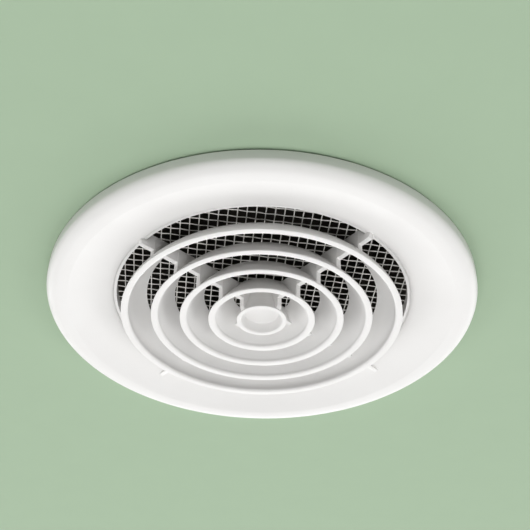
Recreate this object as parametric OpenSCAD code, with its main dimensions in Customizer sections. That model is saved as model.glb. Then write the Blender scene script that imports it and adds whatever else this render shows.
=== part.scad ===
// Round ceiling air diffuser for a 125 mm duct.
// Frame: origin at the centre of the bezel's back face, on the ceiling plane.
// +Z points up into the ceiling, the visible face looks down. Units are millimetres.

/* [Bezel] */
// Radius of the bezel's rim
bezel_r = 88; // [84:0.5:95]
// Depth of the straight side of the rim, below the ceiling
rim_h = 3.7; // [3:0.1:5]
// Depth of the lowest part of the bezel, below the ceiling
bezel_drop = 7.0; // [6:0.1:8]
// Radius of the air opening in the bezel
hole_r = 61.2; // [60.8:0.1:61.6]
// Wall thickness of the mouldings
wall = 1.8; // [1.5:0.1:2.2]

/* [Louvres] */
// Depth of the louvre lips, below the ceiling
lip_drop = 10.3; // [9:0.1:12]
// Width of the flat lip at the bottom of each louvre ring
lip_w = 3.0; // [2.4:0.1:3.4]
// Thickness of a louvre ring at its top edge
ring_top_t = 1.0; // [0.8:0.1:1.4]
// Radius of the centre cup at its lip
cup_r = 10.24; // [9.6:0.02:10.6]
// Depth of the recess in the centre cup
cup_recess = 4.0; // [3:0.1:5]

/* [Ribs] */
// Azimuth of the first of the four ribs, in degrees
rib_az = 41; // [35:1:55]
// Thickness of a rib
rib_t = 2.0; // [1.4:0.1:2.4]
// Depth of the ribs' bottom edge, below the ceiling
rib_drop = 4.4; // [4:0.1:4.4]
// Radius at which the two long ribs run out in the bezel's face
rib_end_r = 69.2; // [68.5:0.1:69.6]

/* [Insect mesh] */
// Spacing of the warp wires
warp_pitch = 3.66; // [3:0.01:5]
// Spacing of the weft wires
weft_pitch = 3.55; // [3:0.01:5]
// Diameter of a wire
wire_d = 0.5; // [0.4:0.05:0.6]
// Turn of the warp wires in plan, in degrees
mesh_turn = 8.5; // [-45:0.5:45]
// How far the weave is out of square, in degrees
mesh_skew = 3.6; // [-5:0.1:5]
// Height of the lower layer of wires above the ceiling plane
mesh_z = 2.45; // [2.4:0.01:2.6]

/* [Duct spigot] */
// Outer radius of the spigot, for a duct of 125 mm bore
spigot_r = 62; // [61.8:0.1:62.2]
// Height of the spigot's end above the ceiling plane
spigot_h = 52; // [46:1:80]

/* [Spring clips] */
// Azimuth of the first of the three clips, in degrees
clip_az = 25; // [22:1:28]
// Radius at which the clips pivot
pivot_r = 68.2; // [68:0.1:68.4]
// Height of the clips' pivots above the ceiling plane
pivot_z = 13.5; // [13.2:0.1:14]
// Distance from the pivot to the centre of the rubber pad
arm_len = 17.5; // [16:0.1:18]
// Angle of a released arm below the horizontal, in degrees
arm_droop = 17; // [12:1:17]
// Radius of the pivot pins
pin_r = 1.25; // [1.2:0.05:1.3]

/* [Hidden] */
$fn = 96;
eps = 0.01;

white = [0.93, 0.93, 0.91];
foam_grey = [0.35, 0.35, 0.36];
zinc = [0.72, 0.72, 0.70];
spring_steel = [0.55, 0.56, 0.58];
rubber = [0.12, 0.12, 0.12];

// Louvre rings, from the outermost inwards: lip radius, inner radius at the top, top height, wall bow
ring_lip_r = [57.5, 45.28, 33.56, 21.84];
ring_top_r = [47.7, 36.2, 24.1, 11.9];
ring_top_z = [0.3, 0.9, 1.4, 2.15];
ring_bow = [1.7, 0.4, 0.3, 0.2];
ring_count = len(ring_lip_r);
lip_z = -lip_drop;
lip_edge_h = 0.5;
lip_round = 0.7;

// Legs that run down the outside of the rings and the cup from each rib: radius of the outer edge
leg_r = [56.3, 44.8, 33.9, 22.55, 10.94];
leg_t = rib_t + 0.2;
leg_w = 2.2;
rib_z = -rib_drop;
rib_top_z = mesh_z - wire_d / 2;

// Seat of the insect mesh behind the bezel's edge
border_r = 60;
border_outer_r = 63.8;
seat_z = -1.5;
border_top_z = 3.7;

// Spigot
spigot_t = 1.6;
flange_t = 2;
flange_r = 71.2;
flange_z = border_top_z;
flange_top_z = flange_z + flange_t;
stop_z = 22;
stop_r = 64.6;
stop_t = 1.6;
seal_t = 2;
seal_groove = 0.7;
root_r = spigot_r + 1.2;
end_chamfer = 1.2;

// Screws that hold the spigot to the bezel
screw_count = 3;
screw_az = clip_az + 60;
screw_pcr = 67.6;
screw_r = 1.45;
screw_pilot_r = 1.25;
screw_hole_r = 1.7;
screw_head_r = 3;
screw_head_h = 2;
boss_r = 3.4;

// Webs on the bezel's back
web_count = 6;
web_t = 1.2;

// Clips
clip_count = 3;
clip_step = 360 / clip_count;
pad_face_r = 64.2;
pad_half_w = 9;
pad_z0 = 6;
pad_z1 = 20.2;
sheet = 1.0;
ear_y = 5.6;
ear_reach = 2.9;
rivet_z = [8.2, 18.2];
rivet_r = 1.1;
rivet_head_r = 1.9;
arm_t = 1.2;
arm_half_w = 5.2;
lug_r = 2.6;
hole_clear = 0.06;
coil_r = 2.45;
spring_wire_r = 0.45;
coil_half = 3.3;
arm_pad_r = 2.3;
arm_pad_half_w = 6;

// Points of a quadratic Bezier curve from a to c, with b as its control point
function bezier(a, b, c, n) = [for (i = [0:n]) let (t = i / n)
    (1 - t) * (1 - t) * a + 2 * t * (1 - t) * b + t * t * c];
// Points of an elliptical arc about the point c
function arc(c, rx, ry, a0, a1, n) = [for (i = [0:n]) let (a = a0 + (a1 - a0) * i / n)
    c + [rx * cos(a), ry * sin(a)]];
// Middle of two points, moved outwards by bow
function middle(a, b, bow) = (a + b) / 2 + [bow, 0];
function reversed(v) = [for (i = [len(v) - 1:-1:0]) v[i]];

// Places a child at azimuth az, with X radial and Y tangential
module at_azimuth(az, r = 0, z = 0) {
    rotate([0, 0, az]) translate([r, 0, z]) children();
}

// ---- Bezel ----

shoulder_w = 5;
face_flat_r = 79.5;
hole_z = -2.2;
face_curve = bezier([face_flat_r, -bezel_drop], [75.2, -6.0], [hole_r, hole_z], 10);
face_back = [for (p = face_curve) if (p[0] < 77) p + [0, wall]];
channel_r0 = 78.4;
channel_r1 = bezel_r - 2.2;
channel_z = -5;

module bezel_body() {
    rotate_extrude($fn = 180)
        polygon(concat(
            [[bezel_r, 0]],
            arc([bezel_r - shoulder_w, -rim_h], shoulder_w, bezel_drop - rim_h, 0, -90, 8),
            face_curve,
            [[hole_r, seat_z], [64.1, seat_z], [64.1, 0.6], [65.3, 0.6]],
            reversed([for (p = face_back) if (p[0] > 65.3) p]),
            [[channel_r0 - 1.3, -bezel_drop + wall + 0.4], [channel_r0 - 1.3, 0], [channel_r0, 0],
             [channel_r0, channel_z], [channel_r1, channel_z], [channel_r1, 0]]));
}

module bezel() {
    color(white)
    difference() {
        union() {
            bezel_body();
            for (i = [0:screw_count - 1])
                at_azimuth(screw_az + i * 360 / screw_count, screw_pcr, -3)
                    cylinder(r = boss_r, h = flange_z + 3, $fn = 48);
            for (i = [0:web_count - 1])
                at_azimuth(clip_az + 30 + i * 360 / web_count) web();
        }
        for (i = [0:screw_count - 1])
            at_azimuth(screw_az + i * 360 / screw_count, screw_pcr, -2.2)
                cylinder(r = screw_pilot_r, h = flange_z + 3, $fn = 48);
        for (k = [0:3]) at_azimuth(rib_az + 90 * k) rib_blade(k);
    }
}

// Stiffening web between the collar and the wall inside the gasket's channel
module web() {
    translate([64.8, web_t / 2, 0]) rotate([90, 0, 0])
        linear_extrude(web_t)
            polygon([[0, -2.6], [5.6, -4.3], [12.9, -5.8], [12.9, -1.4], [0, -0.6]]);
}

// ---- Foam gasket between the bezel and the ceiling ----

module ceiling_gasket() {
    color(foam_grey)
    rotate_extrude($fn = 180)
        translate([channel_r0 + 0.2, channel_z])
            square([channel_r1 - channel_r0 - 0.4, -channel_z]);
}

// ---- Louvre rings ----

// Outer side of ring i, from its lip to its top edge
function ring_outer(i) = let (
    a = [ring_lip_r[i], lip_z + lip_edge_h],
    b = [ring_top_r[i] + ring_top_t, ring_top_z[i]])
    bezier(a, middle(a, b, 2 * ring_bow[i]), b, 8);
// Inner side of ring i, from its top edge to its lip
function ring_inner(i) = let (
    a = [ring_top_r[i], ring_top_z[i]],
    b = [ring_lip_r[i] - lip_w, lip_z + lip_round])
    bezier(a, middle(a, b, 2 * ring_bow[i]), b, 8);
// Rounding of the inner edge of a lip of radius r
function lip_inner_edge(r) =
    arc([r - lip_w + lip_round, lip_z + lip_round], lip_round, lip_round, 200, 270, 3);

module louvre_ring(i) {
    color(white)
    difference() {
        rotate_extrude($fn = 180)
            polygon(concat([[ring_lip_r[i], lip_z]], ring_outer(i), ring_inner(i),
                lip_inner_edge(ring_lip_r[i])));
        for (k = [0:3]) at_azimuth(rib_az + 90 * k) rib_blade(k);
    }
}

// ---- Centre cup ----

cup_top_z = rib_top_z;
cup_top_r = 7.2;
cup_floor_r = 7.2;
cup_floor_z = lip_z + cup_recess;
// Outer side of the cup, from its lip to its top edge
cup_outer = bezier([cup_r, lip_z + lip_edge_h], [8.2, -5.2], [cup_top_r, cup_top_z], 6);

module centre_cup() {
    color(white)
    difference() {
        rotate_extrude($fn = 120)
            polygon(concat(
                [[cup_r, lip_z]], cup_outer,
                [[cup_top_r - 1, cup_top_z], [cup_top_r - 1, cup_floor_z + 1.2], [0, cup_floor_z + 1.2],
                 [0, cup_floor_z], [cup_floor_r, cup_floor_z], [8.2, lip_z + lip_round]],
                arc([8.4 + lip_round, lip_z + lip_round], lip_round, lip_round, 200, 270, 3)));
        for (k = [0:3]) at_azimuth(rib_az + 90 * k) rib_blade(k);
    }
}

// ---- Rib spider ----

// Outer end of rib k: the first two ribs run on over the bezel's face, the others stop at its opening
function rib_end(k) = k < 2
    ? [[rib_end_r, rib_z], [rib_end_r, rib_z + 2.2]]
    : [[hole_r + 0.7, rib_z], [hole_r + 1.4, hole_z - 0.2], [hole_r + 1.4, seat_z - 0.15]];

// One rib, from the axis to the bezel
module rib_blade(k) {
    translate([0, rib_t / 2, 0]) rotate([90, 0, 0])
        linear_extrude(rib_t)
            polygon(concat([[0, rib_z]], rib_end(k),
                [[border_r, seat_z], [border_r, rib_top_z], [0, rib_top_z]]));
}

// Leg that drops from a rib down the outside of a ring
module leg(r) {
    translate([r - leg_w, -leg_t / 2, lip_z + 0.3])
        cube([leg_w, leg_t, rib_top_z - lip_z - 0.3]);
}

// What a ring or the cup fills inside its outer side, which its legs leave free
module inside_of(outer) {
    first = outer[0];
    last = outer[len(outer) - 1];
    rotate_extrude($fn = 180)
        polygon(concat([[0, lip_z - 1], [first[0], lip_z - 1]], outer,
            [[last[0], rib_top_z + 1], [0, rib_top_z + 1]]));
}

module rib_spider() {
    color(white)
    for (k = [0:3]) at_azimuth(rib_az + 90 * k) {
        rib_blade(k);
        for (i = [0:ring_count])
            difference() {
                leg(leg_r[i]);
                inside_of(i < ring_count ? ring_outer(i) : cup_outer);
            }
    }
}

// ---- Insect mesh ----

module mesh_border() {
    color(white)
    rotate_extrude($fn = 180)
        polygon([[border_r, seat_z], [border_outer_r, seat_z], [border_outer_r, border_top_z],
                 [border_r + 0.5, border_top_z], [border_r, border_top_z - 0.3]]);
}

// Parallel wires across the opening, at height z
module wires(turn, pitch, z) {
    wire_reach = border_r + 1.4;
    last = floor(wire_reach / pitch - 0.3);
    rotate([0, 0, turn])
        for (i = [-last:last]) {
            half = sqrt(pow(wire_reach, 2) - pow(i * pitch, 2));
            translate([-half, i * pitch, z]) rotate([0, 90, 0])
                cylinder(d = wire_d, h = 2 * half, $fn = 13);
        }
}

module mesh_warp_wires() {
    color(zinc) wires(mesh_turn, warp_pitch, mesh_z);
}

module mesh_weft_wires() {
    color(zinc) wires(mesh_turn - 90 - mesh_skew, weft_pitch, mesh_z + wire_d + eps);
}

// ---- Duct spigot ----

module duct_spigot() {
    color(white)
    difference() {
        union() {
            rotate_extrude($fn = 180)
                polygon([[spigot_r - spigot_t, flange_z], [flange_r, flange_z], [flange_r, flange_top_z],
                         [root_r, flange_top_z], [root_r, stop_z - stop_t], [stop_r, stop_z - stop_t],
                         [stop_r, stop_z], [spigot_r - seal_groove, stop_z],
                         [spigot_r - seal_groove, stop_z + seal_t], [spigot_r, stop_z + seal_t],
                         [spigot_r, spigot_h - end_chamfer],
                         [spigot_r - 0.8, spigot_h], [spigot_r - spigot_t, spigot_h]]);
            for (i = [0:clip_count - 1])
                at_azimuth(clip_az + i * clip_step, spigot_r - 1, pad_z0 - 1)
                    translate([0, -pad_half_w - 0.5, 0])
                        cube([pad_face_r - spigot_r + 1, 2 * pad_half_w + 1, pad_z1 - pad_z0 + 1.4]);
        }
        cylinder(r = spigot_r - spigot_t, h = 200, center = true, $fn = 180);
        for (i = [0:screw_count - 1])
            at_azimuth(screw_az + i * 360 / screw_count, screw_pcr, flange_z - 1)
                cylinder(r = screw_hole_r, h = flange_t + 2, $fn = 48);
        for (i = [0:clip_count - 1], z = rivet_z)
            at_azimuth(clip_az + i * clip_step, spigot_r - 3, z)
                rotate([0, 90, 0]) cylinder(r = rivet_r, h = 8, $fn = 32);
    }
}

// Foam ring that the end of the duct presses on
module duct_end_seal() {
    color(foam_grey)
    rotate_extrude($fn = 180)
        translate([spigot_r - seal_groove, stop_z])
            square([stop_r - spigot_r + seal_groove - 0.4, seal_t - 0.1]);
}

module spigot_screws() {
    color(zinc)
    for (i = [0:screw_count - 1])
        at_azimuth(screw_az + i * 360 / screw_count, screw_pcr, flange_top_z)
            difference() {
                union() {
                    cylinder(r1 = screw_head_r, r2 = screw_head_r - 0.7, h = screw_head_h, $fn = 48);
                    translate([0, 0, -6.2]) cylinder(r = screw_r, h = 6.3, $fn = 48);
                }
                for (a = [0, 90])
                    rotate([0, 0, a]) translate([-1.6, -0.35, screw_head_h - 1.1]) cube([3.2, 0.7, 2]);
            }
}

// ---- Spring clips ----

module clip_at(i) {
    at_azimuth(clip_az + i * clip_step) children();
}

// Stamped bracket: a plate on the spigot with two ears that hold the pin
module clip_bracket(i) {
    color(zinc)
    clip_at(i)
    difference() {
        union() {
            translate([pad_face_r, -pad_half_w, pad_z0])
                cube([sheet, 2 * pad_half_w, pad_z1 - pad_z0]);
            for (s = [-1, 1]) {
                translate([pivot_r, s * (ear_y + sheet / 2), pivot_z]) rotate([90, 0, 0])
                    cylinder(r = ear_reach, h = sheet, center = true, $fn = 48);
                translate([pad_face_r, s * (ear_y + sheet / 2) - sheet / 2, pivot_z - ear_reach])
                    cube([pivot_r - pad_face_r, sheet, 2 * ear_reach]);
            }
        }
        translate([pivot_r, 0, pivot_z]) rotate([90, 0, 0])
            cylinder(r = pin_r, h = 40, center = true, $fn = 48);
        for (z = rivet_z)
            translate([pad_face_r - 1, 0, z]) rotate([0, 90, 0])
                cylinder(r = rivet_r, h = 4, $fn = 32);
    }
}

// Headed pivot pin, riveted over at its other end
module clip_pin(i) {
    color(spring_steel)
    clip_at(i)
    translate([pivot_r, 0, pivot_z]) rotate([90, 0, 0]) {
        cylinder(r = pin_r, h = 2 * (ear_y + sheet), center = true, $fn = 48);
        for (s = [-1, 1]) translate([0, 0, s * (ear_y + sheet + 0.4)])
            cylinder(r = pin_r + 0.7, h = 0.8, center = true, $fn = 48);
    }
}

// Torsion spring: the closed outer shape of its coil, with the leg that bears on the bracket's plate
module clip_spring(i) {
    color(spring_steel)
    clip_at(i)
    translate([pivot_r, 0, pivot_z]) {
        rotate([90, 0, 0])
            difference() {
                cylinder(r = coil_r, h = 2 * coil_half, center = true, $fn = 48);
                cylinder(r = coil_r - 2 * spring_wire_r, h = 2 * coil_half + 1, center = true, $fn = 48);
            }
        translate([-coil_r + spring_wire_r, coil_half - spring_wire_r, -6])
            cylinder(r = spring_wire_r, h = 6, $fn = 24);
    }
}

// Arm in its own frame: the pivot is the origin and the arm runs out along X
module arm_shape() {
    for (s = [-1, 1])
        translate([0, s * (arm_half_w - arm_t / 2) + arm_t / 2, 0]) rotate([90, 0, 0])
            cylinder(r = lug_r, h = arm_t, $fn = 48);
    for (s = [-1, 1])
        translate([0, s * (arm_half_w - arm_t / 2) + arm_t / 2, 0]) rotate([90, 0, 0])
            linear_extrude(arm_t)
                polygon([[0, 0.4 - lug_r], [9.5, -arm_t / 2], [9.5, arm_t / 2], [0, lug_r - 0.4]]);
    translate([9.5, -arm_half_w, -arm_t / 2]) cube([arm_len - 9.5 - 1.3, 2 * arm_half_w, arm_t]);
    translate([3.4, 0.2 - arm_half_w, -arm_t / 2])
        cube([6.2, 2 * (arm_half_w - 0.2), arm_t]);
}

// Heel of the arm's cheeks, which stops on the bracket's plate when the arm is down
module arm_heel() {
    reach = pivot_r - pad_face_r - sheet - 0.25;
    for (s = [-1, 1])
        translate([-reach, s * (arm_half_w - arm_t / 2) - arm_t / 2 + 0.1, -2.6])
            cube([reach, arm_t - 0.2, 1.3]);
}

module clip_arm(i) {
    color(zinc)
    clip_at(i) translate([pivot_r, 0, pivot_z])
        difference() {
            union() {
                rotate([0, arm_droop, 0]) arm_shape();
                arm_heel();
            }
            rotate([90, 0, 0]) cylinder(r = pin_r + hole_clear, h = 40, center = true, $fn = 48);
        }
}

// Rubber sleeve on the end of the arm
module clip_pad(i) {
    color(rubber)
    clip_at(i) translate([pivot_r, 0, pivot_z]) rotate([0, arm_droop, 0])
        translate([arm_len, 0, 0]) rotate([90, 0, 0])
            difference() {
                cylinder(r = arm_pad_r, h = 2 * arm_pad_half_w, center = true, $fn = 48);
                translate([-6.2, -arm_t / 2, -arm_half_w]) cube([5, arm_t, 2 * arm_half_w]);
            }
}

module clip_rivets() {
    color(zinc)
    for (i = [0:clip_count - 1], z = rivet_z)
        clip_at(i) translate([spigot_r - spigot_t, 0, z]) rotate([0, 90, 0]) {
            cylinder(r = rivet_r, h = pad_face_r + sheet - spigot_r + spigot_t + 0.1, $fn = 32);
            translate([0, 0, pad_face_r + sheet - spigot_r + spigot_t])
                cylinder(r1 = rivet_head_r, r2 = rivet_head_r - 0.6, h = 0.8, $fn = 32);
        }
}

bezel();
ceiling_gasket();
louvre_ring(0);  // louvre_ring_1
louvre_ring(1);  // louvre_ring_2
louvre_ring(2);  // louvre_ring_3
louvre_ring(3);  // louvre_ring_4
centre_cup();
rib_spider();
mesh_border();
mesh_warp_wires();
mesh_weft_wires();
duct_spigot();
duct_end_seal();
spigot_screws();
clip_rivets();
clip_bracket(0);  // clip_bracket_1
clip_bracket(1);  // clip_bracket_2
clip_bracket(2);  // clip_bracket_3
clip_pin(0);  // clip_pin_1
clip_pin(1);  // clip_pin_2
clip_pin(2);  // clip_pin_3
clip_spring(0);  // clip_spring_1
clip_spring(1);  // clip_spring_2
clip_spring(2);  // clip_spring_3
clip_arm(0);  // clip_arm_1
clip_arm(1);  // clip_arm_2
clip_arm(2);  // clip_arm_3
clip_pad(0);  // clip_pad_1
clip_pad(1);  // clip_pad_2
clip_pad(2);  // clip_pad_3
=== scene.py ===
"""Looks of a round ceiling air diffuser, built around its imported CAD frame.

Sizes in this file are millimetres in the CAD's frame (origin on the ceiling plane, +Z up
into the ceiling) and become metres when a piece is placed. Turned pieces are outlines of
(r, z) points, flat pieces are outlines of (x, z) points, and an azimuth is in degrees from
+X towards +Y.
"""
import math

import bmesh
import bpy
from mathutils import Matrix, Vector

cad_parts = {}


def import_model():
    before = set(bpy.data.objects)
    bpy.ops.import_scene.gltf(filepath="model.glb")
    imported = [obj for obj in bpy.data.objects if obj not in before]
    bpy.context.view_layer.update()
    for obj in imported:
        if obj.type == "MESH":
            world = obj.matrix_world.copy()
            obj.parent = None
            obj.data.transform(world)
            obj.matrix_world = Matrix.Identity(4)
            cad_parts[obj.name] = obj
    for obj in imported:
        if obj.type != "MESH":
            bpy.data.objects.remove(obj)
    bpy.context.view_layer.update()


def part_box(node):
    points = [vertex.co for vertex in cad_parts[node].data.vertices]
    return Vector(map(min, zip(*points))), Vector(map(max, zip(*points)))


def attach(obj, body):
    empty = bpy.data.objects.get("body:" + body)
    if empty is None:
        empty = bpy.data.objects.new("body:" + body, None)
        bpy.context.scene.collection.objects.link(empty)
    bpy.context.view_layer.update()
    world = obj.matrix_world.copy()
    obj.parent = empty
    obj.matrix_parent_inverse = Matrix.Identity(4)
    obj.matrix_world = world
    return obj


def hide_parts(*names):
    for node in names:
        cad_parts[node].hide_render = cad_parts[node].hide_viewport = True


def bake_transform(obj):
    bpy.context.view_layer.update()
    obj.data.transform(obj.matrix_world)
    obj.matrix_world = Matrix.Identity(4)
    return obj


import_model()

MM = 0.001
ROOT = "frame"
SCENE = bpy.context.scene


def top_mm(node):
    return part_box(node)[1] / MM


def low_mm(node):
    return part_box(node)[0] / MM


# ---------------------------------------------------------------- sizes
RIM_R = top_mm("bezel").x
BEZEL_LOW = low_mm("bezel").z
OPENING_R = 61.2
SEAT_Z = -1.5
CHANNEL = (78.4, 85.8, -5.0)  # the gasket's channel: inner and outer radius, floor

LIP_Z = low_mm("louvre_ring_1").z
LIP_R = [57.5, 45.28, 33.56, 21.84]
TOP_R = [47.7, 36.2, 24.1, 11.9]
TOP_Z = [0.3, 0.9, 1.4, 2.15]
BOW = [1.7, 0.4, 0.3, 0.2]
LIP_W = 3.0
LIP_ROUND = 1.1
LIP_CRISP = 0.16
LIP_EDGE = 0.5
RING_T = 1.0
TOP_ROUND = 0.25
CUP_R = 10.24
CUP_TOP_R = 7.2
CUP_FLOOR = -6.3

RIB_AZ = 41
RIB_T = 2.0
RIB_Z = -4.4
RIB_TOP = 2.2
RIB_END = 69.2
RIB_STOP = 61.9
LEG_T = 2.2
LEG_R = [56.3, 44.8, 33.9, 22.55, 10.94]

BORDER_R = 60.0
BORDER_TOP = 3.7
MESH_Z = 2.7
WIRE_R = 0.22
WAVE = 0.1
WARP = (math.radians(8.5), 3.66)  # direction and pitch of each family of wires
WEFT = (math.radians(8.5 - 93.6), 3.55)

NECK_R = 62.0
NECK_BORE = 60.4
NECK_TOP = 52.0
ROOT_R = 63.2
FLANGE_R = 71.2
FLANGE_TOP = 5.7
BEAD_TOP = 22.0
SEAL_R = 61.3
PAD_FACE = 64.2
SCREW_PITCH_R = 67.6
SCREW_AZ = [85, 205, 325]

CLIPS = {1: 25, 2: 145, 3: 265}
PIVOT = Vector((68.2, 0, 13.5))
ARM_LEN = 17.5
ARM_DROOP = math.radians(17)
ARM_HALF_W = 5.2
ARM_T = 1.2
EAR_Y = 5.6
RIVET_Z = (8.2, 18.2)


# ---------------------------------------------------------------- mesh helpers
SHARP = 32  # edges over this angle in degrees are shown as edges
ROUND = 60  # the same for round wires, whose sides meet at up to 45 degrees


def bezier(a, b, c, n):
    """Curve from a to c in n steps, drawn towards b."""
    out = []
    for i in range(n + 1):
        t = i / n
        u = 1 - t
        out.append(tuple(u ** 2 * a[k] + 2 * t * u * b[k] + t * t * c[k] for k in (0, 1)))
    return out


def arc(cx, cz, rx, rz, a0, a1, n):
    """Stretch of an ellipse from a0 to a1 degrees in n steps."""
    out = []
    for i in range(n + 1):
        a = math.radians(a0 + (a1 - a0) * i / n)
        out.append((cx + rx * math.cos(a), cz + rz * math.sin(a)))
    return out


def fillet(points, n=4):
    """Closed outline with rounded corners. A point is (x, z) or (x, z, radius)."""
    pts = [(p[0], p[1], p[2] if len(p) > 2 else 0.0) for p in points]
    out = []
    count = len(pts)
    for i, (x, z, r) in enumerate(pts):
        p = Vector((x, z))
        a = Vector(pts[i - 1][:2]) - p
        b = Vector(pts[(i + 1) % count][:2]) - p
        if r <= 0:
            out.append((x, z))
            continue
        half = a.angle(b) / 2
        cut = min(r / math.tan(half), a.length * 0.48, b.length * 0.48)
        p0 = p + a.normalized() * cut
        p1 = p + b.normalized() * cut
        out += bezier(p0, p, p1, n)
    return out


def new_object(name, bm, angle=SHARP):
    """Object from a bmesh, smooth except across edges over angle degrees."""
    bmesh.ops.remove_doubles(bm, verts=bm.verts, dist=1e-4)
    bmesh.ops.recalc_face_normals(bm, faces=bm.faces)
    mesh = bpy.data.meshes.new(name)
    bm.to_mesh(mesh)
    bm.free()
    obj = bpy.data.objects.new(name, mesh)
    SCENE.collection.objects.link(obj)
    soften(mesh, angle)
    return obj


def soften(mesh, angle=SHARP):
    """Shades a mesh smooth except across its edges."""
    mesh.polygons.foreach_set("use_smooth", [True] * len(mesh.polygons))
    mesh.set_sharp_from_angle(angle=math.radians(angle))
    mesh.update()


def bridge(bm, p, q):
    """Faces between two rings of vertices, where a ring can also be one point repeated."""
    for s in range(len(p)):
        t = (s + 1) % len(p)
        corners = list(dict.fromkeys((p[s], p[t], q[t], q[s])))
        if len(corners) > 2:
            bm.faces.new(corners)


def turned(bm, points, segments):
    """Adds the surface that (r, z) points make about the Z axis, and returns its rings."""
    rings = []
    for r, z in points:
        if r < 1e-6:
            rings.append([bm.verts.new((0, 0, z))] * segments)
            continue
        ring = []
        for s in range(segments):
            a = 2 * math.pi * s / segments
            ring.append(bm.verts.new((r * math.cos(a), r * math.sin(a), z)))
        rings.append(ring)
    for p, q in zip(rings, rings[1:]):
        bridge(bm, p, q)
    return rings


def lathe(name, outline, segments):
    """Solid that a closed outline of (r, z) points makes about the Z axis."""
    bm = bmesh.new()
    rings = turned(bm, outline, segments)
    bridge(bm, rings[-1], rings[0])
    return new_object(name, bm)


def prism(name, outline, y0, y1, bevel=0.0, segments=2):
    """Extrudes an outline of (x, z) points from y0 to y1, with its edges rounded."""
    bm = bmesh.new()
    lower = [bm.verts.new((x, y0, z)) for x, z in outline]
    upper = [bm.verts.new((x, y1, z)) for x, z in outline]
    bm.faces.new(lower)
    bm.faces.new(list(reversed(upper)))
    for i in range(len(outline)):
        j = (i + 1) % len(outline)
        bm.faces.new((lower[j], lower[i], upper[i], upper[j]))
    bmesh.ops.recalc_face_normals(bm, faces=bm.faces)
    if bevel:
        edges = [e for e in bm.edges if e.is_manifold and e.calc_face_angle(0) > math.radians(25)]
        bmesh.ops.bevel(bm, geom=edges, offset=bevel, segments=segments, profile=0.5,
                        affect="EDGES", clamp_overlap=True)
    return new_object(name, bm)


def transform(obj, matrix):
    """Moves an object's mesh, so that the object itself stays at the origin."""
    obj.data.transform(matrix)
    obj.data.update()
    return obj


def turn_y(a):
    return Matrix.Rotation(a, 4, "Y")


def turn_x(a):
    return Matrix.Rotation(a, 4, "X")


def azimuth(deg):
    return Matrix.Rotation(math.radians(deg), 4, "Z")


def around(az, r, z=0):
    """Place at azimuth az, r out from the axis, with X pointing outwards."""
    return azimuth(az) @ Matrix.Translation((r, 0, z))


def on_pivot(az):
    """Place of a clip's pin, with X pointing outwards and Y along the pin."""
    return azimuth(az) @ Matrix.Translation(PIVOT)


def combine(base, others, operation="UNION"):
    """Joins or cuts base with other objects, which are used up."""
    for other in others:
        mod = base.modifiers.new("b", "BOOLEAN")
        mod.operation = operation
        mod.solver = "EXACT"
        mod.object = other
        depsgraph = bpy.context.evaluated_depsgraph_get()
        mesh = bpy.data.meshes.new_from_object(base.evaluated_get(depsgraph))
        base.modifiers.clear()
        old = base.data
        base.data = mesh
        mesh.name = old.name
        bpy.data.meshes.remove(old)
        bpy.data.objects.remove(other)
    bm = bmesh.new()
    bm.from_mesh(base.data)
    bmesh.ops.remove_doubles(bm, verts=bm.verts, dist=2e-4)
    bmesh.ops.dissolve_degenerate(bm, edges=bm.edges, dist=1e-4)
    bm.to_mesh(base.data)
    bm.free()
    soften(base.data)
    return base


def join(objs):
    """Puts separate solids of one piece in one object."""
    bm = bmesh.new()
    for o in objs:
        bm.from_mesh(o.data)
    first = objs[0]
    bm.to_mesh(first.data)
    bm.free()
    for o in objs[1:]:
        bpy.data.objects.remove(o)
    soften(first.data)
    return first


def tube(bm, path, radius, sides):
    """Adds a round wire along a path, without twist and closed at both ends."""
    rings = []
    up = None
    for i, p in enumerate(path):
        a = path[max(i - 1, 0)]
        b = path[min(i + 1, len(path) - 1)]
        t = (Vector(b) - Vector(a)).normalized()
        if up is None:
            up = t.orthogonal().normalized()
        up = (up - t * up.dot(t)).normalized()
        side = t.cross(up)
        ring = []
        for s in range(sides):
            w = 2 * math.pi * s / sides
            out = math.cos(w) * up + math.sin(w) * side
            ring.append(bm.verts.new(Vector(p) + radius * out))
        rings.append(ring)
    for p, q in zip(rings, rings[1:]):
        bridge(bm, p, q)
    bm.faces.new(list(reversed(rings[0])))
    bm.faces.new(rings[-1])


# ---------------------------------------------------------------- materials
def node_material(name):
    mat = bpy.data.materials.new(name)
    mat.use_nodes = True
    tree = mat.node_tree
    shader = tree.nodes["Principled BSDF"]
    coords = tree.nodes.new("ShaderNodeTexCoord")
    return mat, tree, shader, coords


def noise(tree, coords, scale, detail=3.0, rough=0.55):
    n = tree.nodes.new("ShaderNodeTexNoise")
    n.inputs["Scale"].default_value = scale
    n.inputs["Detail"].default_value = detail
    n.inputs["Roughness"].default_value = rough
    tree.links.new(coords, n.inputs["Vector"])
    return n.outputs["Fac"]


def ranged(tree, value, low, high, lo_in=0.3, hi_in=0.7):
    """Stretches the middle of a pattern over low to high."""
    m = tree.nodes.new("ShaderNodeMapRange")
    m.inputs["From Min"].default_value = lo_in
    m.inputs["From Max"].default_value = hi_in
    m.inputs["To Min"].default_value = low
    m.inputs["To Max"].default_value = high
    tree.links.new(value, m.inputs["Value"])
    return m.outputs["Result"]


def two_tone(tree, shader, fac, a, b):
    """Base colour that goes from a to b with the factor."""
    m = tree.nodes.new("ShaderNodeMix")
    m.data_type = "RGBA"
    m.inputs[6].default_value = (*a, 1)
    m.inputs[7].default_value = (*b, 1)
    tree.links.new(fac, m.inputs[0])
    tree.links.new(m.outputs[2], shader.inputs["Base Color"])


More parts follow.
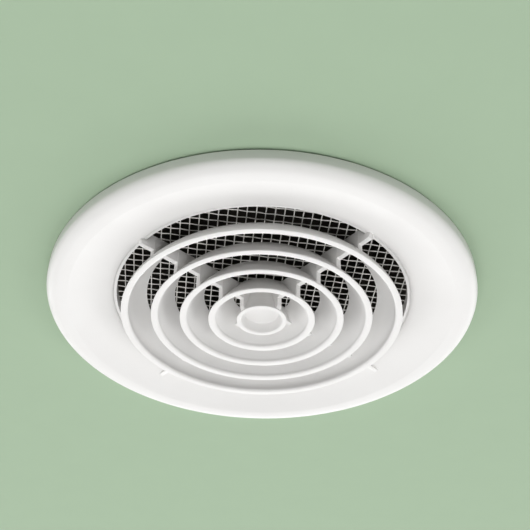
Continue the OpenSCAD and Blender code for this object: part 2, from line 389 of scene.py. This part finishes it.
def bumped(tree, shader, layers):
    """Adds bump layers, each (height, distance in metres, strength)."""
    last = None
    for height, distance, strength in layers:
        b = tree.nodes.new("ShaderNodeBump")
        b.inputs["Strength"].default_value = strength
        b.inputs["Distance"].default_value = distance
        tree.links.new(height, b.inputs["Height"])
        if last:
            tree.links.new(last, b.inputs["Normal"])
        last = b.outputs["Normal"]
    tree.links.new(last, shader.inputs["Normal"])


def plastic(name, light, dark, rough, grain, bump, specular=0.5):
    """Injection-moulded plastic: faint clouding, uneven gloss and a fine spark-eroded grain."""
    mat, tree, shader, tc = node_material(name)
    obj = tc.outputs["Object"]
    cloud = noise(tree, obj, 22, 4)
    two_tone(tree, shader, ranged(tree, cloud, 0, 1), light, dark)
    flow = noise(tree, obj, 90, 5, 0.6)
    tree.links.new(ranged(tree, flow, *rough), shader.inputs["Roughness"])
    shader.inputs["Specular IOR Level"].default_value = specular
    fine = noise(tree, obj, grain, 2)
    sink = noise(tree, obj, 55, 2)
    bumped(tree, shader, [(sink, 0.00012, bump), (fine, 0.00003, bump * 1.5)])
    return mat


def foam(name, light, dark):
    """Closed-cell foam: small cells of uneven size with a matt skin."""
    mat, tree, shader, tc = node_material(name)
    obj = tc.outputs["Object"]
    cells = tree.nodes.new("ShaderNodeTexVoronoi")
    cells.inputs["Scale"].default_value = 1300
    tree.links.new(obj, cells.inputs["Vector"])
    big = noise(tree, obj, 160, 4)
    two_tone(tree, shader, ranged(tree, cells.outputs["Distance"], 0, 1, 0.05, 0.6), dark, light)
    tree.links.new(ranged(tree, big, 0.82, 0.96), shader.inputs["Roughness"])
    shader.inputs["Specular IOR Level"].default_value = 0.25
    bumped(tree, shader, [(cells.outputs["Distance"], 0.0003, 0.6), (big, 0.0004, 0.3)])
    return mat


def metal(name, light, dark, rough=(0.25, 0.42), stretch=(1, 1, 14), scale=380):
    """Pressed steel: rolling marks, blotchy plating and fine scratches."""
    mat, tree, shader, tc = node_material(name)
    m = tree.nodes.new("ShaderNodeMapping")
    m.inputs["Scale"].default_value = stretch
    tree.links.new(tc.outputs["Object"], m.inputs["Vector"])
    marks = noise(tree, m.outputs["Vector"], scale, 5, 0.65)
    blotch = noise(tree, tc.outputs["Object"], 240, 3)
    two_tone(tree, shader, ranged(tree, blotch, 0, 1), light, dark)
    tree.links.new(ranged(tree, marks, *rough), shader.inputs["Roughness"])
    shader.inputs["Metallic"].default_value = 1.0
    bumped(tree, shader, [(marks, 0.00005, 0.25)])
    return mat


def rubber(name, light, dark):
    """Moulded rubber: dull, faintly dusty and finely grained."""
    mat, tree, shader, tc = node_material(name)
    obj = tc.outputs["Object"]
    dust = noise(tree, obj, 300, 5, 0.7)
    two_tone(tree, shader, ranged(tree, dust, 0, 1, 0.45, 0.75), dark, light)
    tree.links.new(ranged(tree, dust, 0.6, 0.85), shader.inputs["Roughness"])
    shader.inputs["Specular IOR Level"].default_value = 0.4
    bumped(tree, shader, [(noise(tree, obj, 2200, 2), 0.00005, 0.4)])
    return mat


WHITE = plastic("white_moulding", (0.75, 0.742, 0.73), (0.73, 0.72, 0.708),
                rough=(0.48, 0.6), grain=2600, bump=0.08, specular=0.35)
NECK = plastic("spigot_moulding", (0.80, 0.80, 0.79), (0.75, 0.75, 0.735),
               rough=(0.42, 0.58), grain=1800, bump=0.3)
WIRE = plastic("coated_wire", (0.80, 0.785, 0.75), (0.66, 0.645, 0.61),
               rough=(0.35, 0.55), grain=1500, bump=0.3)
FOAM = foam("closed_cell_foam", (0.10, 0.10, 0.105), (0.03, 0.03, 0.032))
ZINC = metal("zinc_plated_steel", (0.66, 0.67, 0.68), (0.52, 0.53, 0.53))
SPRING = metal("oiled_spring_steel", (0.42, 0.41, 0.40), (0.25, 0.24, 0.24),
               rough=(0.18, 0.35), stretch=(1, 1, 1), scale=900)
RUBBER = rubber("black_rubber", (0.07, 0.07, 0.068), (0.02, 0.02, 0.02))


def place(obj, body, material, slot, *nodes):
    """Scales a finished piece to metres, gives it its finish and fixes it to its body."""
    transform(obj, Matrix.Scale(MM, 4))
    obj.data.materials.clear()
    obj.data.materials.append(material)
    if body:
        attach(obj, body)
    if nodes:
        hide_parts(*nodes)
    return obj


# ---------------------------------------------------------------- bezel
def screw_boss(az):
    """Boss with a blind hole for one of the flange's screws."""
    r, hole_r, foot, hole_floor = 3.4, 1.25, -3, -2.2
    outline = fillet([(0, foot), (r, foot), (r, BORDER_TOP, 0.25), (hole_r, BORDER_TOP, 0.2),
                      (hole_r, hole_floor), (0, hole_floor)])
    return transform(lathe("boss", outline, 48), around(az, SCREW_PITCH_R))


def bezel():
    wall = 1.8
    shoulder_r, shoulder_z = 83, -3.7
    pocket_r, pocket_wall_r, pocket_top = 64.1, 65.3, 0.6
    channel_in, channel_out, channel_floor = CHANNEL
    channel_wall_r = 77.1
    face = bezier((79.5, BEZEL_LOW), (75.2, -6.0), (61.35, -2.24), 20)
    flat = [p for p in face if p[0] > 63.6]
    back = [(r, z + wall) for r, z in face if 65.5 < r < 76.8]
    outline = bezier((RIM_R - 0.3, 0), (RIM_R, 0), (RIM_R, -0.4), 4)
    outline += arc(shoulder_r, shoulder_z, RIM_R - shoulder_r, shoulder_z - BEZEL_LOW, 0, -90, 20)
    outline += flat + bezier(flat[-1], (61.25, -2.2), (OPENING_R, SEAT_Z), 8)[1:]
    outline += [(pocket_r, SEAT_Z), (pocket_r, pocket_top), (pocket_wall_r, pocket_top)]
    outline += list(reversed(back))
    outline += [(channel_wall_r, -4.8), (channel_wall_r, 0), (channel_in, 0),
                (channel_in, channel_floor), (channel_out, channel_floor), (channel_out, 0)]
    shell = lathe("bezel_shell", outline, 360)
    extras = [screw_boss(az) for az in SCREW_AZ]
    web_outline = [(64.8, -2.6), (70.4, -4.3), (77.7, -5.8), (77.7, -1.4), (64.8, -0.6)]
    web_half_t = 0.6
    for k in range(6):
        web = prism("web", web_outline, -web_half_t, web_half_t)
        extras.append(transform(web, azimuth(55 + 60 * k)))
    combine(shell, extras)
    return place(shell, ROOT, WHITE, "white_plastic", "bezel")


# ---------------------------------------------------------------- louvres
def bowed(a, b, bow, n):
    """Wall of a louvre from a to b, bowed outwards."""
    return bezier(a, ((a[0] + b[0]) / 2 + 2 * bow, (a[1] + b[1]) / 2), b, n)


def ring_outer(i, n=24):
    foot = (LIP_R[i], LIP_Z + LIP_EDGE)
    top = (TOP_R[i] + RING_T, TOP_Z[i] - TOP_ROUND)
    return bowed(foot, top, BOW[i], n)


def ring_inner(i, n=24):
    top = (TOP_R[i], TOP_Z[i] - TOP_ROUND)
    foot = (LIP_R[i] - LIP_W, LIP_Z + LIP_ROUND)
    return bowed(top, foot, BOW[i], n)


def crisp_edge(r, n):
    """Outer edge of a lip, with a radius that only catches the light."""
    return bezier((r - LIP_CRISP, LIP_Z), (r, LIP_Z), (r, LIP_Z + LIP_CRISP), n)


def lip(r):
    """Outline of a lip's flat underside, from its rounded inner edge to its crisp outer edge."""
    inner = arc(r - LIP_W + LIP_ROUND, LIP_Z + LIP_ROUND, LIP_ROUND, LIP_ROUND, 192, 270, 8)
    return inner + crisp_edge(r, 3)


def louvre_ring(i):
    mid = TOP_R[i] + RING_T / 2
    top = arc(mid, TOP_Z[i] - TOP_ROUND, RING_T / 2, TOP_ROUND, 0, 180, 6)[1:-1]
    outline = ring_outer(i) + top + ring_inner(i) + lip(LIP_R[i])
    ring = lathe(f"louvre_{i + 1}", outline, 300 - 40 * i)
    return place(ring, ROOT, WHITE, "white_plastic", f"louvre_ring_{i + 1}")


def cup_outer(n):
    """Outer wall of the cup, from its lip to its top."""
    return bezier((CUP_R, LIP_Z + LIP_EDGE), (8.2, -5.2), (CUP_TOP_R, RIB_TOP), n)


def centre_cup():
    bore_r, floor_top, lip_round = 6.2, -5.1, 0.7
    outline = cup_outer(14)
    outline += [(bore_r, RIB_TOP), (bore_r, floor_top), (0, floor_top), (0, CUP_FLOOR)]
    outline += bezier((6.7, CUP_FLOOR), (7.2, CUP_FLOOR), (7.3, -6.6), 4)
    outline += [(8.2, LIP_Z + 0.75)]
    outline += arc(8.95, LIP_Z + lip_round, lip_round, lip_round, 195, 270, 6)
    outline += crisp_edge(CUP_R, 3)
    cup = lathe("cup", outline, 160)
    return place(cup, ROOT, WHITE, "white_plastic", "centre_cup")


def leg_outline(i):
    """Side view of the leg outside ring i, or outside the cup for the last."""
    root = 0.4  # how far the leg reaches into the wall it runs down
    top_z = RIB_TOP - 0.07
    if i == len(LIP_R):
        inner = [(r - root, z) for r, z in cup_outer(12)[1:-1]]
        return inner + [(6.8, top_z), (LEG_R[i], top_z), (LEG_R[i], -8.2),
                        (CUP_R - 0.1, LIP_Z + 0.6)]
    inner = [(r - root, z) for r, z in ring_outer(i, 40) if r < LEG_R[i]]
    inner[0] = (min(LEG_R[i], inner[0][0] + root), inner[0][1] - 0.2)
    return inner + [(inner[-1][0], top_z), (LEG_R[i], top_z)]


def rib_spider():
    """Two bars, each with one long end on the bezel's face and one short end, and their legs."""
    inner = [(BORDER_R, SEAT_Z), (BORDER_R - 0.05, RIB_TOP)]
    long_end = [(RIB_END, RIB_Z), (RIB_END, -2.1)] + inner
    short_end = [(RIB_STOP, RIB_Z), (RIB_STOP + 0.7, -2.4), (RIB_STOP + 0.7, -1.65)] + inner
    full = long_end + [(-x, z) for x, z in reversed(short_end)]
    bars = []
    for k in range(2):
        bar = prism(f"rib_cross_{k}", full, -RIB_T / 2, RIB_T / 2, 0.12)
        bars.append(transform(bar, azimuth(RIB_AZ + 90 * k)))
    legs = []
    for k in range(4):
        for i in range(len(LEG_R)):
            leg = prism("leg", leg_outline(i), -LEG_T / 2, LEG_T / 2, 0.1)
            legs.append(transform(leg, azimuth(RIB_AZ + 90 * k)))
    spider = combine(bars[0], bars[1:] + legs)
    spider.name = "rib_cross"
    return place(spider, ROOT, WHITE, "white_plastic", "rib_spider")


# ---------------------------------------------------------------- insect mesh
def mesh_border():
    outer_r = 63.8
    outline = fillet([(BORDER_R, SEAT_Z, 0.2), (outer_r, SEAT_Z), (outer_r, BORDER_TOP, 0.2),
                      (BORDER_R + 0.5, BORDER_TOP, 0.3), (BORDER_R, BORDER_TOP - 0.3, 0.3)])
    ring = lathe("mesh_frame", outline, 300)
    return place(ring, ROOT, WHITE, "white_plastic", "mesh_border")


def woven(name, family, others, sign, node):
    """One family of wires, each going over and under the wires of the other family."""
    turn, pitch = family
    other_turn, other_pitch = others
    reach = BORDER_R + 1.2  # the wires end inside the border
    along = Vector((math.cos(turn), math.sin(turn), 0))
    across = Vector((-math.sin(turn), math.cos(turn), 0))
    other = Vector((-math.sin(other_turn), math.cos(other_turn), 0))
    last = int(reach / pitch - 0.3)
    step = other_pitch / 6
    bm = bmesh.new()
    for i in range(-last, last + 1):
        base = across * (i * pitch)
        half = math.sqrt(reach ** 2 - (i * pitch) ** 2)
        n = int(2 * half / step)
        path = []
        for s in range(n + 1):
            p = base + along * (-half + 2 * half * s / n)
            phase = math.pi * (p.dot(other) / other_pitch + i)
            path.append(p + Vector((0, 0, MESH_Z + sign * WAVE * math.cos(phase))))
        tube(bm, path, WIRE_R, 8)
    obj = new_object(name, bm, ROUND)
    return place(obj, ROOT, WIRE, "mesh_wire", node)


# ---------------------------------------------------------------- duct spigot
def duct_spigot():
    """Neck with its flange, the bead that stops the duct, the seal's groove and the clips' pads."""
    bead_r, bead_low, groove_top = 64.6, 20.4, 24.0
    outline = fillet([
        (NECK_BORE, BORDER_TOP, 0.3), (FLANGE_R, BORDER_TOP, 0.3), (FLANGE_R, FLANGE_TOP, 0.4),
        (ROOT_R, FLANGE_TOP, 0.5), (ROOT_R, bead_low, 0.2), (bead_r, bead_low, 0.3),
        (bead_r, BEAD_TOP, 0.3), (SEAL_R, BEAD_TOP), (SEAL_R, groove_top),
        (NECK_R, groove_top, 0.1), (NECK_R, 50.8, 0.6), (61.2, NECK_TOP, 0.3),
        (NECK_BORE, NECK_TOP, 0.3)])
    neck = lathe("spigot", outline, 300)
    pad_root, pad_low, pad_top, pad_half_w = 61.0, 5.0, 21.6, 9.5
    pad_outline = [(pad_root, pad_low), (PAD_FACE, pad_low), (PAD_FACE, pad_top),
                   (pad_root, pad_top)]
    pads = []
    for az in CLIPS.values():
        pad = prism("pad", pad_outline, -pad_half_w, pad_half_w)
        pads.append(transform(pad, azimuth(az)))
    combine(neck, pads)
    hole_r, hole_low, hole_top = 1.7, 3, 7
    cuts = []
    for az in SCREW_AZ:
        hole = lathe("hole", [(0, hole_low), (hole_r, hole_low), (hole_r, hole_top),
                              (0, hole_top)], 32)
        cuts.append(transform(hole, around(az, SCREW_PITCH_R)))
    combine(neck, cuts, "DIFFERENCE")
    return place(neck, ROOT, NECK, "spigot_plastic", "duct_spigot")


def foam_rings():
    gasket_in, gasket_out, gasket_low = 78.6, 85.6, CHANNEL[2]
    outline = fillet([(gasket_in, gasket_low, 0.3), (gasket_out, gasket_low, 0.3),
                      (gasket_out, 0.0, 0.5), (gasket_in, 0.0, 0.5)])
    gasket = lathe("gasket", outline, 300)
    place(gasket, ROOT, FOAM, "foam_seal", "ceiling_gasket")
    seal_out, seal_top = 64.2, 23.9
    outline = fillet([(SEAL_R, BEAD_TOP), (seal_out, BEAD_TOP, 0.3), (seal_out, seal_top, 0.6),
                      (SEAL_R, seal_top, 0.2)])
    seal = lathe("end_seal", outline, 300)
    place(seal, ROOT, FOAM, "foam_seal", "duct_end_seal")


def screws():
    """Pan-head screws with a cross slot, down through the flange into the bezel's bosses."""
    shank_r, head_r, end = 1.45, 3.0, -0.5
    outline = [(0, end), (1.2, end), (shank_r, -0.2), (shank_r, FLANGE_TOP), (head_r, FLANGE_TOP)]
    outline += bezier((head_r, 6.5), (2.7, 7.45), (1.6, 7.68), 6) + [(0, 7.7)]
    slot_outline = [(-1.55, 6.5), (-1.2, 9), (1.2, 9), (1.55, 6.5)]
    slot_half_w = 0.33
    made = []
    for az in SCREW_AZ:
        screw = lathe("screw", outline, 64)
        cross = []
        for a in (20, 110):
            blade = prism("blade", slot_outline, -slot_half_w, slot_half_w)
            cross.append(transform(blade, azimuth(a)))
        combine(screw, cross, "DIFFERENCE")
        made.append(transform(screw, around(az, SCREW_PITCH_R)))
    all_screws = join(made)
    all_screws.name = "flange_screws"
    place(all_screws, ROOT, ZINC, "zinc_plated_steel", "spigot_screws")


def rivets():
    """Rivets from the neck's bore out through its wall and the bracket's plate."""
    shank_r, head_r, grip = 1.1, 1.9, 4.8
    outline = [(0, 0), (shank_r, 0), (shank_r, grip), (head_r, grip)]
    outline += bezier((head_r, 5.0), (1.75, 5.6), (0.9, 5.6), 5)
    outline += bezier((0.7, 5.55), (0.4, 5.25), (0, 5.25), 3)
    made = []
    for az in CLIPS.values():
        for z in RIVET_Z:
            rivet = lathe("rivet", outline, 40)
            made.append(transform(rivet, around(az, NECK_BORE, z) @ turn_y(math.pi / 2)))
    all_rivets = join(made)
    all_rivets.name = "bracket_rivets"
    place(all_rivets, ROOT, ZINC, "zinc_plated_steel", "clip_rivets")


# ---------------------------------------------------------------- spring clips
def mirrored(half):
    """Outline of a turned piece from its half above z = 0, which starts at z = 0."""
    return [(r, -z) for r, z in reversed(half)][:-1] + half


def pair(name, outline, y_in, y_out, bevel):
    """Two equal flat pieces, one on each side of the clip's middle."""
    return [prism(name, outline, *sorted((s * y_in, s * y_out)), bevel) for s in (-1, 1)]


def bracket(n, az):
    """Plate riveted on the neck's pad, with two ears that hold the pin."""
    half_w, low, top, corner = 9, 6, 20.2, 1.2
    face = fillet([(-half_w, low, corner), (half_w, low, corner), (half_w, top, corner),
                   (-half_w, top, corner)], n=6)
    plate = prism("clip_plate", face, PAD_FACE, PAD_FACE + 1.0, 0.12)
    # The outline's x runs along the plate here, so x and y are swapped to face it outwards,
    # and its faces have to be turned right side out again.
    transform(plate, Matrix(((0, 1, 0, 0), (1, 0, 0, 0), (0, 0, 1, 0), (0, 0, 0, 1))))
    bm = bmesh.new()
    bm.from_mesh(plate.data)
    bmesh.ops.recalc_face_normals(bm, faces=bm.faces)
    bm.to_mesh(plate.data)
    bm.free()
    ear_r, ear_root = 2.9, 64.5
    ear = [(ear_root, PIVOT.z - ear_r)] + arc(PIVOT.x, PIVOT.z, ear_r, ear_r, -90, 90, 20)
    ear += [(ear_root, PIVOT.z + ear_r)]
    combine(plate, pair("ear", ear, EAR_Y, EAR_Y + 1.0, 0.12))
    plate.name = f"bracket_{n}"
    transform(plate, azimuth(az))
    place(plate, ROOT, ZINC, "zinc_plated_steel", f"clip_bracket_{n}")


def pin(n, az):
    """Pin with a peened head outside each ear."""
    r, head_r, end = 1.25, 1.95, 7.4
    half = [(r, 0), (r, 6.6), (head_r, 6.62)]
    half += bezier((head_r, 6.9), (1.9, 7.38), (1.1, end), 5) + [(0, end)]
    obj = lathe(f"pivot_pin_{n}", mirrored(half), 48)
    transform(obj, on_pivot(az) @ turn_x(math.pi / 2))
    place(obj, ROOT, SPRING, "spring_steel", f"clip_pin_{n}")


def spring(n, az):
    """Torsion spring: one leg bears on the bracket's plate, the other on the arm."""
    coil_r, turns, y0, wire_r = 2.0, 5.65, 2.8, 0.45
    path = [(-2.55, y0, -6.2), (-2.5, y0, -5.6)]
    path += [(-2.0 - 0.45 * (1 - k / 5) ** 2, y0, -5.0 + k) for k in range(6)]
    count = int(turns * 28)
    for k in range(1, count + 1):
        a = math.pi - 2 * math.pi * turns * k / count
        path.append((coil_r * math.cos(a), y0 - 2 * y0 * k / count, coil_r * math.sin(a)))
    # The coil ends at its top, where the leg runs out along the arm.
    end = Vector(path[-1])
    tip = turn_y(ARM_DROOP) @ Vector((7.4, end.y, 1.1))
    for k in range(1, 8):
        path.append(tuple(end.lerp(tip, k / 7)))
    bm = bmesh.new()
    tube(bm, path, wire_r, 10)
    obj = new_object(f"torsion_spring_{n}", bm, ROUND)
    at_pin = on_pivot(az)
    transform(obj, at_pin)
    place(obj, None, SPRING, "spring_steel")
    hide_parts(f"clip_spring_{n}")
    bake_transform(obj)


def arm(n, az):
    """Pressed arm: two cheeks on the pin, a strip with a stiffening bead and two stop heels."""
    cheek_r, cheek_end, cheek_half_t = 2.6, 9.6, 0.58
    outline = arc(0, 0, cheek_r, cheek_r, 75, 285, 24)
    outline += [(cheek_end, -cheek_half_t), (cheek_end, cheek_half_t)]
    cheeks = pair("cheek", outline, 4.0, ARM_HALF_W, 0.15)
    root_x, tip_x, half_t = 3.4, 16.1, ARM_T / 2
    outline = fillet([(root_x, -half_t, 0.1), (tip_x, -half_t, 0.2), (tip_x, half_t, 0.2),
                      (root_x, half_t, 0.1)])
    strip = prism("strip", outline, -ARM_HALF_W, ARM_HALF_W, 0.1)
    bead_half_w = 1.6
    bead = prism("bead", [(8.6, 0.3), (9.2, 0.95), (13.6, 0.95), (14.2, 0.3)],
                 -bead_half_w, bead_half_w, 0.25, 3)
    body = combine(strip, cheeks + [bead])
    transform(body, turn_y(ARM_DROOP))
    heel = [(0.4, 0), (-2.75, -1.3), (-2.75, -2.8), (0.5, -2.3)]
    combine(body, pair("heel", heel, 4.02, 5.18, 0.1))
    hole_r, hole_end = 1.31, 9
    hole = lathe("hole", [(0, -hole_end), (hole_r, -hole_end), (hole_r, hole_end),
                          (0, hole_end)], 40)
    transform(hole, turn_x(math.pi / 2))
    combine(body, [hole], "DIFFERENCE")
    body.name = f"clip_arm_pressing_{n}"
    transform(body, on_pivot(az))
    place(body, f"clip_{n}", ZINC, "zinc_plated_steel", f"clip_arm_{n}")


def rubber_pad(n, az):
    """Rubber sleeve with grip grooves, on the end of the arm."""
    r, groove_r, end = 2.3, 2.02, 6.0
    half = [(r, 0)]
    for k in range(4):
        z = 0.75 + 1.35 * k
        half += [(r, z - 0.35), (groove_r, z - 0.1), (groove_r, z + 0.1), (r, z + 0.35)]
    half += bezier((r, 5.55), (2.25, end), (1.7, end), 4) + [(0, end)]
    obj = lathe(f"grip_pad_{n}", mirrored(half), 56)
    arm_end = on_pivot(az) @ turn_y(ARM_DROOP) @ Matrix.Translation((ARM_LEN, 0, 0))
    transform(obj, arm_end @ turn_x(math.pi / 2))
    place(obj, f"clip_{n}", RUBBER, "pad_rubber", f"clip_pad_{n}")


bezel()
for ring_index in range(len(LIP_R)):
    louvre_ring(ring_index)
centre_cup()
rib_spider()
mesh_border()
woven("warp_wires", WARP, WEFT, 1, "mesh_warp_wires")
woven("weft_wires", WEFT, WARP, -1, "mesh_weft_wires")
duct_spigot()
foam_rings()
screws()
rivets()
for number, clip_az in CLIPS.items():
    for make in (bracket, pin, spring, arm, rubber_pad):
        make(number, clip_az)


# ---------------------------------------------------------------- stage
STAGE_SEGMENTS = 128


def one_sided(name, colour):
    """Stage surface that shows only from the side its faces point to, on a first hit."""
    mat, tree, shader, tc = node_material(name)
    grain = noise(tree, tc.outputs["Object"], 60, 4)
    darker = tuple(c * 0.985 for c in colour)
    two_tone(tree, shader, ranged(tree, grain, 0, 1), colour, darker)
    shader.inputs["Roughness"].default_value = 0.9
    shader.inputs["Specular IOR Level"].default_value = 0.1
    geometry = tree.nodes.new("ShaderNodeNewGeometry")
    path = tree.nodes.new("ShaderNodeLightPath")
    passed = tree.nodes.new("ShaderNodeMath")
    passed.operation = "MAXIMUM"
    tree.links.new(geometry.outputs["Backfacing"], passed.inputs[0])
    tree.links.new(path.outputs["Transparent Depth"], passed.inputs[1])
    clear = tree.nodes.new("ShaderNodeBsdfTransparent")
    mix = tree.nodes.new("ShaderNodeMixShader")
    tree.links.new(passed.outputs[0], mix.inputs[0])
    tree.links.new(shader.outputs[0], mix.inputs[1])
    tree.links.new(clear.outputs[0], mix.inputs[2])
    tree.links.new(mix.outputs[0], tree.nodes["Material Output"].inputs["Surface"])
    return mat


def stage_mesh(name, bm, material):
    """Puts a stage surface in the scene, scaled to metres."""
    mesh = bpy.data.meshes.new(name)
    bm.to_mesh(mesh)
    bm.free()
    mesh.transform(Matrix.Scale(MM, 4))
    obj = bpy.data.objects.new(name, mesh)
    SCENE.collection.objects.link(obj)
    mesh.materials.append(material)
    mesh.polygons.foreach_set("use_smooth", [True] * len(mesh.polygons))


def ceiling():
    """Painted board, held a little off the rim by the foam seal. It faces down."""
    gap = 0.8
    bm = bmesh.new()
    turned(bm, [(r, gap) for r in (76, RIM_R, 200, 3000)], STAGE_SEGMENTS)
    for f in bm.faces:
        f.normal_update()
        if f.normal.z > 0:
            f.normal_flip()
    stage_mesh("stage_ceiling", bm, one_sided("stage_paint", (0.35, 0.454, 0.326)))


def dark_duct():
    """Inside of the neck and of the closed duct above it, coloured near-black as painted shade. It
    faces inwards.
    """
    shade_sheet_r, duct_r, duct_end = 60.2, 62.5, 190
    middle = Vector((0, 0, 100))
    bm = bmesh.new()
    rings = turned(bm, [(shade_sheet_r, 3.8), (shade_sheet_r, 51.5), (duct_r, 52.5), (duct_r, duct_end)],
                   STAGE_SEGMENTS)
    bm.faces.new(rings[-1])
    for f in bm.faces:
        f.normal_update()
        inward = middle - f.calc_center_median()
        if f.normal.dot(inward) < 0:
            f.normal_flip()
    # Painted shade: the closed duct shuts out light from above, and its near-black colour stands in
    # for the shade deep inside it.
    stage_mesh("stage_duct", bm, one_sided("stage_duct_painted_shade", (0.10, 0.09, 0.075)))


ceiling()
dark_duct()


# ---------------------------------------------------------------- camera and light
def camera():
    """Looks up at the diffuser from the side the photograph was taken from."""
    distance, elevation = 403.1, math.radians(35.5)
    pitch, yaw, roll = (math.radians(a) for a in (3.27, 0.14, -1.03))
    ce, se = math.cos(elevation), math.sin(elevation)
    # Rows are right, up and forward for a camera that points at the middle of the lips.
    base = Matrix(((1, 0, 0), (0, -se, ce), (0, ce, se)))
    turn_yaw = Matrix(((math.cos(yaw), 0, -math.sin(yaw)),
                       (0, 1, 0),
                       (math.sin(yaw), 0, math.cos(yaw))))
    turn_pitch = Matrix(((1, 0, 0),
                         (0, math.cos(pitch), -math.sin(pitch)),
                         (0, math.sin(pitch), math.cos(pitch))))
    turn_roll = Matrix(((math.cos(roll), -math.sin(roll), 0),
                        (math.sin(roll), math.cos(roll), 0),
                        (0, 0, 1)))
    m = turn_roll @ turn_pitch @ turn_yaw @ base
    data = bpy.data.cameras.new("camera")
    data.sensor_width = 36
    data.lens = 66.67
    data.clip_start = 0.01
    obj = bpy.data.objects.new("camera", data)
    SCENE.collection.objects.link(obj)
    place_at = Vector((0, -distance * ce, -distance * se + LIP_Z)) * MM
    axes = Matrix((m[0], m[1], -Vector(m[2]))).transposed()
    obj.matrix_world = Matrix.Translation(place_at) @ axes.to_4x4()
    SCENE.camera = obj


def area(name, location, size, power):
    """White disk of light that faces the origin. Lights are placed and sized in metres."""
    data = bpy.data.lights.new(name, "AREA")
    data.shape = "DISK"
    data.size = size
    data.energy = power
    obj = bpy.data.objects.new(name, data)
    SCENE.collection.objects.link(obj)
    obj.location = location
    obj.rotation_euler = (-Vector(location)).to_track_quat("-Z", "Y").to_euler()


def world(colour, strength, backdrop):
    """Even world light. The camera and reflections see it paler than the light it gives."""
    w = bpy.data.worlds.new("studio")
    w.use_nodes = True
    tree = w.node_tree
    lit = tree.nodes["Background"]
    lit.inputs["Color"].default_value = (*colour, 1)
    lit.inputs["Strength"].default_value = strength
    seen = tree.nodes.new("ShaderNodeBackground")
    seen.inputs["Color"].default_value = (*colour, 1)
    seen.inputs["Strength"].default_value = backdrop
    path = tree.nodes.new("ShaderNodeLightPath")
    direct = tree.nodes.new("ShaderNodeMath")
    direct.operation = "MAXIMUM"
    tree.links.new(path.outputs["Is Camera Ray"], direct.inputs[0])
    tree.links.new(path.outputs["Is Glossy Ray"], direct.inputs[1])
    mix = tree.nodes.new("ShaderNodeMixShader")
    tree.links.new(direct.outputs[0], mix.inputs[0])
    tree.links.new(lit.outputs[0], mix.inputs[1])
    tree.links.new(seen.outputs[0], mix.inputs[2])
    tree.links.new(mix.outputs[0], tree.nodes["World Output"].inputs["Surface"])
    SCENE.world = w


def room_light(name, az, depth, power):
    """Soft light in the room, at azimuth az and the angle depth below the ceiling, in degrees."""
    size, reach = 0.7, 1.5
    a, d = math.radians(az), math.radians(depth)
    spot = Vector((math.cos(a) * math.cos(d), math.sin(a) * math.cos(d), -math.sin(d))) * reach
    area(name, spot, size, power)


camera()
room_light("near_high", 270, 60, 10.4)
room_light("far_high", 90, 52, 1.2)
room_light("far_low_right", 45, 12, 8.6)
room_light("far_low", 90, 14, 5.0)
room_light("far_low_left", 135, 12, 7.6)
room_light("far_window", 90, 35, 1.9)
room_light("right_window", 0, 35, 4.6)
room_light("right_high", 0, 60, 3.0)
room_light("left_window", 180, 35, 3.7)
room_light("left_high", 180, 60, 4.4)
# Two lights above the ceiling, for views of the back.
area("top_left", (-0.9, -1.0, 1.6), size=1.0, power=31)
area("top_right", (1.3, 0.7, 1.2), size=1.0, power=18)
world((0.93, 0.95, 0.93), strength=0.03, backdrop=0.72)
SCENE.view_settings.view_transform = "Standard"
